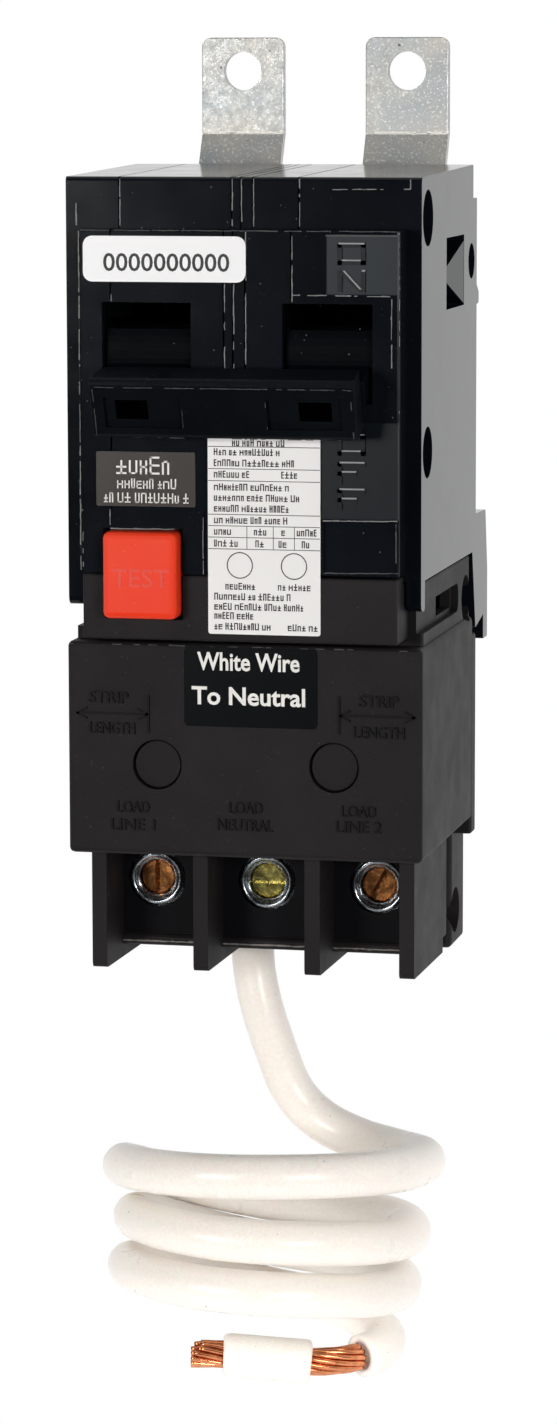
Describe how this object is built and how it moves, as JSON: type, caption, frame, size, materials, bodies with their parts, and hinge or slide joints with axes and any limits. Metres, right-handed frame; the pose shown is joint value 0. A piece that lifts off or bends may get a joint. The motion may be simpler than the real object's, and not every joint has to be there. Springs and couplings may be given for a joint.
{
  "type": "ground-fault circuit breaker",
  "caption": "Bolt-on ground-fault circuit breaker with tied toggles, a red test button, load terminals and a coiled white neutral pigtail.",
  "frame": {"origin": "centre of the terminal base's flat back, where the breaker seats on its panel", "axes": "+X to the user's right, +Y from the handle into the panel, +Z towards the line end"},
  "size_m": [0.0546, 0.0751, 0.1959],
  "materials": {
    "case_black": "glossy bluish black moulding",
    "module_black": "fine-grained matte brownish black moulding",
    "button_red": "orange-red moulding with a soft sheen",
    "zinc_plate": "zinc-plated copper strap with a speckled surface",
    "lug_silver": "bright tin-plated lug",
    "screw_brass": "yellow-passivated, slightly dull",
    "copper": "bare copper",
    "coil_copper": "enamelled copper winding",
    "spring_steel": "plain steel",
    "circuit_board": "green solder-masked laminate",
    "ferrite": "taped toroidal core",
    "arc_fibre": "vulcanised fibre",
    "wire_white": "warm white insulation with a soft gloss"
  },
  "bodies": {
    "breaker_body": {"pole_base_left": "case_black", "pole_base_right": "case_black", "pole_cover_left": "case_black", "pole_cover_right": "case_black", "pole_spacer_left": "case_black", "pole_spacer_right": "case_black", "handle_pin_left": "spring_steel", "handle_pin_right": "spring_steel", "line_strap_left": "zinc_plate", "line_strap_right": "zinc_plate", "bimetal_left": "screw_brass", "bimetal_right": "screw_brass", "magnet_yoke_left": "spring_steel", "magnet_yoke_right": "spring_steel", "arc_chute_left": "arc_fibre", "arc_chute_right": "arc_fibre", "load_strap_left": "copper", "load_strap_right": "copper", "neutral_link": "copper", "case_rivet_upper": "spring_steel", "case_rivet_lower": "spring_steel", "module_rivet_upper": "spring_steel", "module_rivet_lower": "spring_steel", "gfci_cover": "module_black", "gfci_base": "module_black", "gfci_back_plate": "module_black", "cover_plug_left": "module_black", "cover_plug_right": "module_black", "test_contact": "copper", "circuit_board": "circuit_board", "current_transformer": "ferrite", "solenoid": "coil_copper", "lug_left": "lug_silver", "lug_middle": "lug_silver", "lug_right": "lug_silver", "pigtail_lead": "wire_white", "pigtail_coil": "wire_white", "pigtail_tail": "wire_white", "pigtail_sleeve": "wire_white", "pigtail_conductor": "copper"},
    "handle": {"toggle_left": "case_black", "toggle_right": "case_black", "handle_tie": "case_black"},
    "contact_arm_left_body": {"contact_arm_left": "copper"},
    "contact_arm_right_body": {"contact_arm_right": "copper"},
    "cradle_left_body": {"cradle_left": "spring_steel"},
    "cradle_right_body": {"cradle_right": "spring_steel"},
    "armature_left_body": {"armature_left": "spring_steel"},
    "armature_right_body": {"armature_right": "spring_steel"},
    "trip_bar_body": {"trip_bar": "arc_fibre"},
    "plunger_body": {"solenoid_plunger": "spring_steel"},
    "button_body": {"test_button": "button_red"},
    "clamp_left_body": {"clamp_plate_left": "spring_steel"},
    "screw_left_body": {"terminal_screw_left": "screw_brass"},
    "clamp_middle_body": {"clamp_plate_middle": "spring_steel"},
    "screw_middle_body": {"terminal_screw_middle": "screw_brass"},
    "clamp_right_body": {"clamp_plate_right": "spring_steel"},
    "screw_right_body": {"terminal_screw_right": "screw_brass"}
  },
  "joints": [
    {"name": "handle_turn", "type": "hinge", "parent": "breaker_body", "child": "handle", "pos_m": [0, -0.049, 0.0857], "axis": [-1, 0, 0], "range_deg": [0, 43.2]},
    {"name": "contact_arm_left_turn", "type": "hinge", "parent": "breaker_body", "child": "contact_arm_left_body", "pos_m": [-0.0126, -0.038, 0.08], "axis": [1, 0, 0], "range_deg": [0, 20]},
    {"name": "contact_arm_right_turn", "type": "hinge", "parent": "breaker_body", "child": "contact_arm_right_body", "pos_m": [0.0131, -0.038, 0.08], "axis": [1, 0, 0], "range_deg": [0, 20]},
    {"name": "cradle_left_turn", "type": "hinge", "parent": "breaker_body", "child": "cradle_left_body", "pos_m": [-0.0058, -0.02, 0.066], "axis": [-1, 0, 0], "range_deg": [0, 10]},
    {"name": "cradle_right_turn", "type": "hinge", "parent": "breaker_body", "child": "cradle_right_body", "pos_m": [0.0199, -0.02, 0.066], "axis": [-1, 0, 0], "range_deg": [0, 10]},
    {"name": "armature_left_turn", "type": "hinge", "parent": "breaker_body", "child": "armature_left_body", "pos_m": [-0.0126, -0.0345, 0.075], "axis": [1, 0, 0], "range_deg": [0, 3.5], "stiffness_Nm_per_rad": 0.005},
    {"name": "armature_right_turn", "type": "hinge", "parent": "breaker_body", "child": "armature_right_body", "pos_m": [0.0131, -0.0345, 0.075], "axis": [1, 0, 0], "range_deg": [0, 3.5], "stiffness_Nm_per_rad": 0.005},
    {"name": "plunger_slide", "type": "slide", "parent": "breaker_body", "child": "plunger_body", "axis": [0, 0, 1], "range_m": [0, 0.0008], "stiffness_N_per_m": 80},
    {"name": "trip_bar_turn", "type": "hinge", "parent": "breaker_body", "child": "trip_bar_body", "pos_m": [0, -0.0475, 0.0594], "axis": [1, 0, 0], "range_deg": [0, 11.5]},
    {"name": "test_button_slide", "type": "slide", "parent": "breaker_body", "child": "button_body", "axis": [0, 1, 0], "range_m": [0, 0.0018], "stiffness_N_per_m": 400},
    {"name": "clamp_left_slide", "type": "slide", "parent": "breaker_body", "child": "clamp_left_body", "axis": [0, 1, 0], "range_m": [0, 0.003]},
    {"name": "screw_left_turn", "type": "hinge", "parent": "clamp_left_body", "child": "screw_left_body", "pos_m": [-0.0164, -0.0377, 0.008], "axis": [0, 1, 0], "range_deg": [0, 1080]},
    {"name": "clamp_middle_slide", "type": "slide", "parent": "breaker_body", "child": "clamp_middle_body", "axis": [0, 1, 0], "range_m": [0, 0.003]},
    {"name": "screw_middle_turn", "type": "hinge", "parent": "clamp_middle_body", "child": "screw_middle_body", "pos_m": [0, -0.0377, 0.008], "axis": [0, 1, 0], "range_deg": [0, 1080]},
    {"name": "clamp_right_slide", "type": "slide", "parent": "breaker_body", "child": "clamp_right_body", "axis": [0, 1, 0], "range_m": [0, 0.003]},
    {"name": "screw_right_turn", "type": "hinge", "parent": "clamp_right_body", "child": "screw_right_body", "pos_m": [0.0165, -0.0377, 0.008], "axis": [0, 1, 0], "range_deg": [0, 1080]}
  ],
  "couplings": [
    {"joint": "contact_arm_left_turn", "follows": "handle_turn", "ratio": 0.4629},
    {"joint": "contact_arm_right_turn", "follows": "handle_turn", "ratio": 0.4629},
    {"joint": "cradle_right_turn", "follows": "cradle_left_turn", "ratio": 1},
    {"joint": "trip_bar_turn", "follows": "plunger_slide", "rad_per_m": 250},
    {"joint": "screw_left_turn", "follows": "clamp_left_slide", "rad_per_m": 6280},
    {"joint": "screw_middle_turn", "follows": "clamp_middle_slide", "rad_per_m": 6280},
    {"joint": "screw_right_turn", "follows": "clamp_right_slide", "rad_per_m": 6280}
  ]
}
